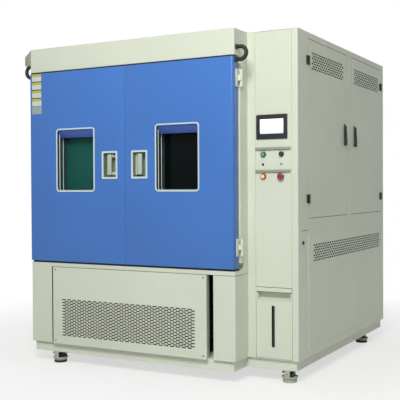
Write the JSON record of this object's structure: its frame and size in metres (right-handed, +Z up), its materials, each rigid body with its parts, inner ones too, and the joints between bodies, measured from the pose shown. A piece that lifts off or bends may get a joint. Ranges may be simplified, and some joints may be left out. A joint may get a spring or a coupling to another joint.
{
  "type": "light fastness test chamber",
  "caption": "Floor-standing light fastness test chamber with double windowed doors, rotating specimen rack, side control column, vented cabinet doors and levelling castors",
  "frame": {"origin": "bottom centre of the bounding box, on the floor", "axes": "+Z up, -Y out of the main doors, +X towards the control column"},
  "size_m": [1.9556, 2.001, 2.097],
  "materials": {
    "powder_coat_plinth": "fine texture powder coat",
    "powder_coat": "fine texture powder coat",
    "screw_steel": "zinc plated",
    "stainless": "brushed stainless",
    "screen_bezel": "semi gloss",
    "fitting_metal": "satin",
    "lamp_parts": "clear quartz",
    "machinery": "black enamel",
    "electrics": "plain",
    "motor_metal": "cast",
    "hinge_grey": "satin",
    "fan_alloy": "satin",
    "conduit": "ribbed",
    "door_blue": "satin powder coat",
    "gasket": "matte",
    "trim_silver": "satin",
    "window_glass": "tinted double glazing",
    "lever_grey": "satin",
    "lock_black": "satin black",
    "castor_grey": "grey enamel",
    "castor_black": "nylon",
    "pad_rubber": "matte",
    "button_green": "gloss",
    "button_dark": "gloss",
    "button_orange": "gloss",
    "button_red": "gloss"
  },
  "bodies": {
    "chamber": {"base_frame": "powder_coat_plinth", "lower_casing": "powder_coat", "front_vent_panel": "powder_coat", "panel_screws": "screw_steel", "main_casing": "powder_coat", "inner_liner": "stainless", "header_cover": "powder_coat", "column_casing": "powder_coat", "control_panel": "powder_coat", "touch_screen": "screen_bezel", "panel_fittings": "fitting_metal", "service_panels": "powder_coat", "xenon_lamp": "lamp_parts", "refrigeration_unit": "machinery", "electrics_plate": "electrics", "drive_motors": "motor_metal", "hinge_bases": "hinge_grey", "cable_loop_right": "conduit", "cable_loop_left": "conduit"},
    "right_door": {"door_shell_right": "door_blue", "door_liner_right": "stainless", "door_gasket_right": "gasket", "window_frame_right": "trim_silver", "window_glass_right": "window_glass", "handle_recess_right": "trim_silver", "door_hinges_right": "hinge_grey"},
    "right_lever": {"door_lever_right": "lever_grey"},
    "left_door": {"door_shell_left": "door_blue", "door_liner_left": "stainless", "door_gasket_left": "gasket", "window_frame_left": "trim_silver", "window_glass_left": "window_glass", "handle_recess_left": "trim_silver", "door_hinges_left": "hinge_grey"},
    "left_lever": {"door_lever_left": "lever_grey"},
    "side_door_front": {"side_door_front": "powder_coat"},
    "side_lock_front": {"side_lock_front": "lock_black"},
    "side_handle_front": {"side_handle_front": "lock_black"},
    "side_door_rear": {"side_door_rear": "powder_coat"},
    "side_lock_rear": {"side_lock_rear": "lock_black"},
    "side_handle_rear": {"side_handle_rear": "lock_black"},
    "green_button": {"green_button": "button_green"},
    "dark_button": {"dark_button": "button_dark"},
    "orange_button": {"orange_button": "button_orange"},
    "emergency_stop": {"emergency_stop": "button_red"},
    "tank_drawer": {"tank_drawer": "powder_coat"},
    "specimen_rack": {"specimen_rack": "stainless"},
    "circulation_fan": {"circulation_fan": "fan_alloy"},
    "castor_front_left": {"castor_front_left": "castor_grey"},
    "castor_wheel_front_left": {"castor_wheel_front_left": "castor_black"},
    "levelling_pad_front_left": {"levelling_pad_front_left": "pad_rubber"},
    "castor_front_right": {"castor_front_right": "castor_grey"},
    "castor_wheel_front_right": {"castor_wheel_front_right": "castor_black"},
    "levelling_pad_front_right": {"levelling_pad_front_right": "pad_rubber"},
    "castor_rear_left": {"castor_rear_left": "castor_grey"},
    "castor_wheel_rear_left": {"castor_wheel_rear_left": "castor_black"},
    "levelling_pad_rear_left": {"levelling_pad_rear_left": "pad_rubber"},
    "castor_rear_right": {"castor_rear_right": "castor_grey"},
    "castor_wheel_rear_right": {"castor_wheel_rear_right": "castor_black"},
    "levelling_pad_rear_right": {"levelling_pad_rear_right": "pad_rubber"}
  },
  "joints": [
    {"name": "right_door_hinge", "type": "hinge", "parent": "chamber", "child": "right_door", "pos_m": [0.64379, -0.9165, 1.3], "axis": [0, 0, 1], "range_deg": [0, 110], "deforming": ["cable_loop_right"]},
    {"name": "right_lever_hinge", "type": "hinge", "parent": "right_door", "child": "right_lever", "pos_m": [-0.06221, -0.9665, 1.31], "axis": [0, 0, -1], "range_deg": [0, 25], "stiffness_Nm_per_rad": 1.5},
    {"name": "left_door_hinge", "type": "hinge", "parent": "chamber", "child": "left_door", "pos_m": [-0.91421, -0.9165, 1.3], "axis": [0, 0, -1], "range_deg": [0, 110], "deforming": ["cable_loop_left"]},
    {"name": "left_lever_hinge", "type": "hinge", "parent": "left_door", "child": "left_lever", "pos_m": [-0.20821, -0.9665, 1.31], "axis": [0, 0, 1], "range_deg": [0, 25], "stiffness_Nm_per_rad": 1.5},
    {"name": "side_door_front_hinge", "type": "hinge", "parent": "chamber", "child": "side_door_front", "pos_m": [0.96109, -0.6365, 1.511], "axis": [0, 0, -1], "range_deg": [0, 110]},
    {"name": "side_lock_front_turn", "type": "hinge", "parent": "side_door_front", "child": "side_lock_front", "pos_m": [0.95479, 0.0405, 1.574], "axis": [-1, 0, 0], "range_deg": [0, 90]},
    {"name": "side_handle_front_lift", "type": "hinge", "parent": "side_lock_front", "child": "side_handle_front", "pos_m": [0.96879, 0.0405, 1.574], "axis": [0, -1, 0], "range_deg": [0, 35]},
    {"name": "side_door_rear_hinge", "type": "hinge", "parent": "chamber", "child": "side_door_rear", "pos_m": [0.96109, 0.8945, 1.511], "axis": [0, 0, 1], "range_deg": [0, 110]},
    {"name": "side_lock_rear_turn", "type": "hinge", "parent": "side_door_rear", "child": "side_lock_rear", "pos_m": [0.95479, 0.2535, 1.574], "axis": [1, 0, 0], "range_deg": [0, 90]},
    {"name": "side_handle_rear_lift", "type": "hinge", "parent": "side_lock_rear", "child": "side_handle_rear", "pos_m": [0.96879, 0.2535, 1.574], "axis": [0, -1, 0], "range_deg": [0, 35]},
    {"name": "green_button_press", "type": "slide", "parent": "chamber", "child": "green_button", "axis": [0, 1, 0], "range_m": [0, 0.0035], "stiffness_N_per_m": 600},
    {"name": "dark_button_press", "type": "slide", "parent": "chamber", "child": "dark_button", "axis": [0, 1, 0], "range_m": [0, 0.0035], "stiffness_N_per_m": 600},
    {"name": "orange_button_press", "type": "slide", "parent": "chamber", "child": "orange_button", "axis": [0, 1, 0], "range_m": [0, 0.0035], "stiffness_N_per_m": 600},
    {"name": "emergency_stop_press", "type": "slide", "parent": "chamber", "child": "emergency_stop", "axis": [0, 1, 0], "range_m": [0, 0.0035]},
    {"name": "tank_drawer_slide", "type": "slide", "parent": "chamber", "child": "tank_drawer", "axis": [0, -1, 0], "range_m": [0, 0.35]},
    {"name": "specimen_rack_spin", "type": "hinge", "parent": "chamber", "child": "specimen_rack", "pos_m": [-0.13521, -0.3935, 0.82], "axis": [0, 0, 1], "continuous": true},
    {"name": "circulation_fan_spin", "type": "hinge", "parent": "chamber", "child": "circulation_fan", "pos_m": [-0.13521, 0.1365, 1.31], "axis": [0, 1, 0], "continuous": true},
    {"name": "castor_front_left_swivel", "type": "hinge", "parent": "chamber", "child": "castor_front_left", "pos_m": [-0.71021, -0.9215, 0.075], "axis": [0, 0, 1], "continuous": true},
    {"name": "castor_wheel_front_left_spin", "type": "hinge", "parent": "castor_front_left", "child": "castor_wheel_front_left", "pos_m": [-0.71021, -0.9215, 0.034], "axis": [1, 0, 0], "continuous": true},
    {"name": "levelling_pad_front_left_screw", "type": "slide", "parent": "castor_front_left", "child": "levelling_pad_front_left", "axis": [0, 0, -1], "range_m": [0, 0.005]},
    {"name": "castor_front_right_swivel", "type": "hinge", "parent": "chamber", "child": "castor_front_right", "pos_m": [0.87479, -0.7435, 0.075], "axis": [0, 0, 1], "continuous": true},
    {"name": "castor_wheel_front_right_spin", "type": "hinge", "parent": "castor_front_right", "child": "castor_wheel_front_right", "pos_m": [0.87479, -0.7435, 0.034], "axis": [1, 0, 0], "continuous": true},
    {"name": "levelling_pad_front_right_screw", "type": "slide", "parent": "castor_front_right", "child": "levelling_pad_front_right", "axis": [0, 0, -1], "range_m": [0, 0.005]},
    {"name": "castor_rear_left_swivel", "type": "hinge", "parent": "chamber", "child": "castor_rear_left", "pos_m": [-0.71021, 0.6615, 0.075], "axis": [0, 0, 1], "continuous": true},
    {"name": "castor_wheel_rear_left_spin", "type": "hinge", "parent": "castor_rear_left", "child": "castor_wheel_rear_left", "pos_m": [-0.71021, 0.6615, 0.034], "axis": [1, 0, 0], "continuous": true},
    {"name": "levelling_pad_rear_left_screw", "type": "slide", "parent": "castor_rear_left", "child": "levelling_pad_rear_left", "axis": [0, 0, -1], "range_m": [0, 0.005]},
    {"name": "castor_rear_right_swivel", "type": "hinge", "parent": "chamber", "child": "castor_rear_right", "pos_m": [0.87479, 0.6615, 0.075], "axis": [0, 0, 1], "continuous": true},
    {"name": "castor_wheel_rear_right_spin", "type": "hinge", "parent": "castor_rear_right", "child": "castor_wheel_rear_right", "pos_m": [0.87479, 0.6615, 0.034], "axis": [1, 0, 0], "continuous": true},
    {"name": "levelling_pad_rear_right_screw", "type": "slide", "parent": "castor_rear_right", "child": "levelling_pad_rear_right", "axis": [0, 0, -1], "range_m": [0, 0.005]}
  ]
}
